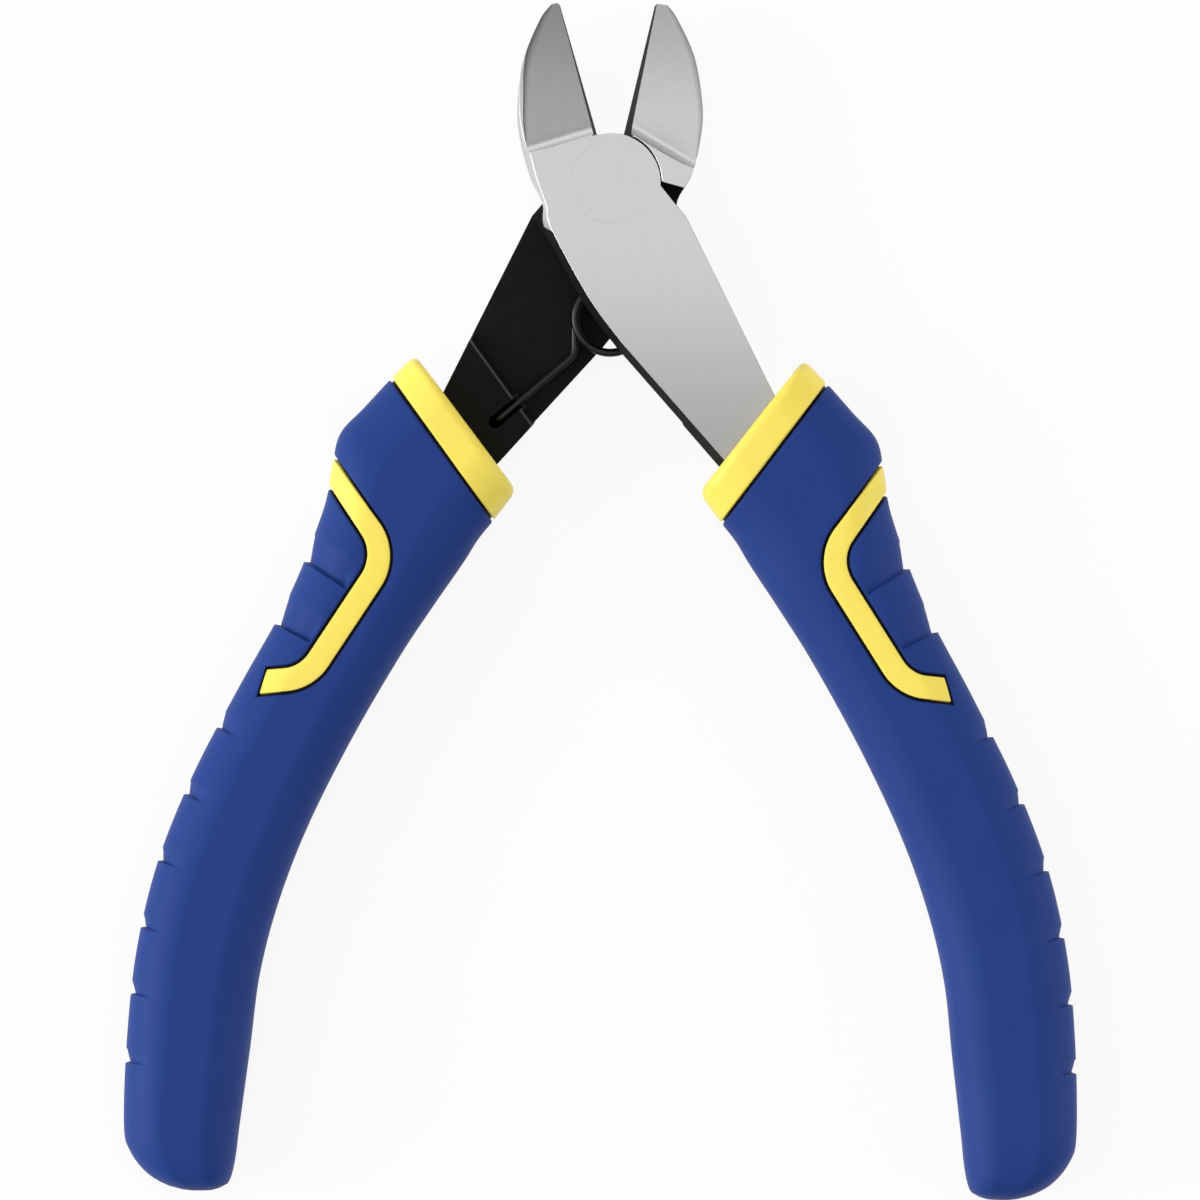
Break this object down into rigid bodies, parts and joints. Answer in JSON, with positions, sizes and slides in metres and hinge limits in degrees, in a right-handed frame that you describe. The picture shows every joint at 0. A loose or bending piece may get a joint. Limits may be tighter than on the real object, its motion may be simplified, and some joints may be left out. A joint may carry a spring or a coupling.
{
  "type": "flush cutter",
  "caption": "Hand-held flush cutter with lapped steel jaws on a flush rivet, a wire torsion return spring, and curved soft-over-hard grips with collar, stripe and notches.",
  "frame": {"origin": "middle of the outline, on the surface that the tool lies on; the rivet's axis is 37.8 mm from it towards the tips", "axes": "+Z out of the tool's front face, +Y along the tool's middle line from the handles to the jaw tips, +X to the right seen from the front"},
  "size_m": [0.0866, 0.1084, 0.0104],
  "materials": {
    "ground_steel": "forged tool steel, black oxide with ground faces",
    "rivet_steel": "ground flush",
    "spring_wire": "black oxide spring wire",
    "hard_core": "satin moulded hard plastic",
    "soft_cover": "matte moulded soft plastic"
  },
  "bodies": {
    "pivot": {"pivot_rivet": "rivet_steel", "return_spring": "spring_wire"},
    "front_lever": {"front_half": "ground_steel", "right_grip_core": "hard_core", "right_grip_cover": "soft_cover"},
    "rear_lever": {"rear_half": "ground_steel", "left_grip_core": "hard_core", "left_grip_cover": "soft_cover"}
  },
  "joints": [
    {"name": "front_swing", "type": "hinge", "parent": "pivot", "child": "front_lever", "pos_m": [0, 0.0378, 0.0052], "axis": [0, 0, 1], "range_deg": [-14.8, 0], "stiffness_Nm_per_rad": 0.25, "springref_deg": 20.05, "deforming": ["return_spring"]},
    {"name": "rear_swing", "type": "hinge", "parent": "pivot", "child": "rear_lever", "pos_m": [0, 0.0378, 0.0052], "axis": [0, 0, 1], "range_deg": [0, 14.8], "stiffness_Nm_per_rad": 0.25, "springref_deg": -20.05, "deforming": ["return_spring"]}
  ],
  "couplings": [
    {"joint": "rear_swing", "follows": "front_swing", "ratio": -1}
  ]
}
